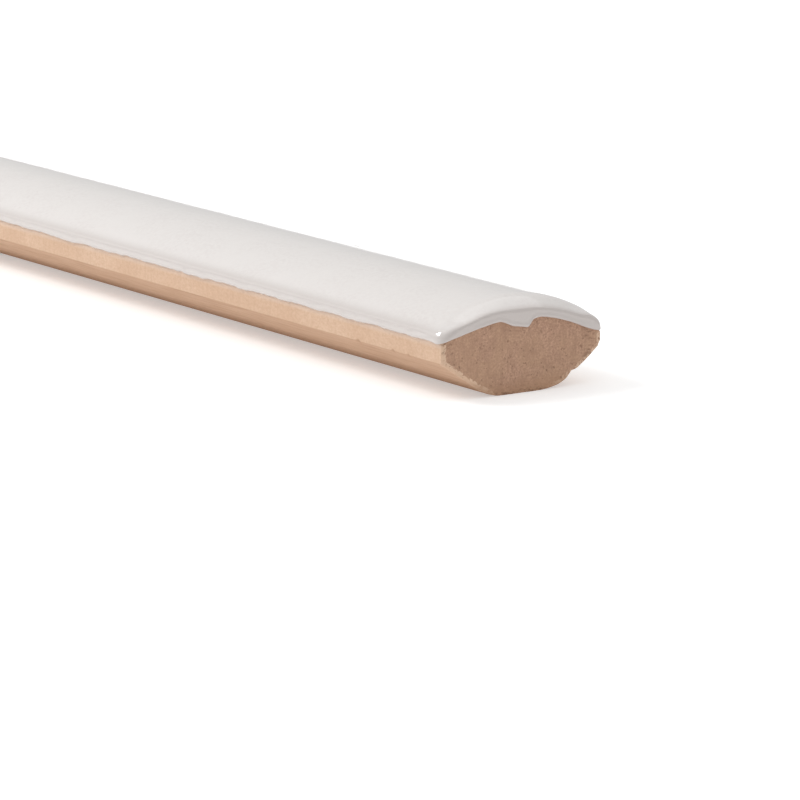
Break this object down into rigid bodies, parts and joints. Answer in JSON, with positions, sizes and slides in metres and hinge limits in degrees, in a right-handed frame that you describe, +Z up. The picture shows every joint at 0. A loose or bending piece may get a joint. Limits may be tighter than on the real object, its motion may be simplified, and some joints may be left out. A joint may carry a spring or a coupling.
{
  "type": "pencil liner tile",
  "caption": "Narrow domed ceramic trim strip with a tapered bed, rolled ends and a thick white glaze that stops in a rounded lip.",
  "frame": {"origin": "centre of the bed that the tile is laid on, at the middle of its length and width", "axes": "+X along the length towards the end with the glaze run, +Y across the width towards the back flank, +Z up out of the wall or floor through the crown"},
  "size_m": [0.203, 0.019, 0.0093],
  "materials": {
    "clay": "dry fired bisque, fine striations, matt",
    "glaze": "thick off-white gloss glaze with a faint mottle"
  },
  "bodies": {
    "root": {"clay_body": "clay", "glaze_coat": "glaze"}
  },
  "joints": []
}
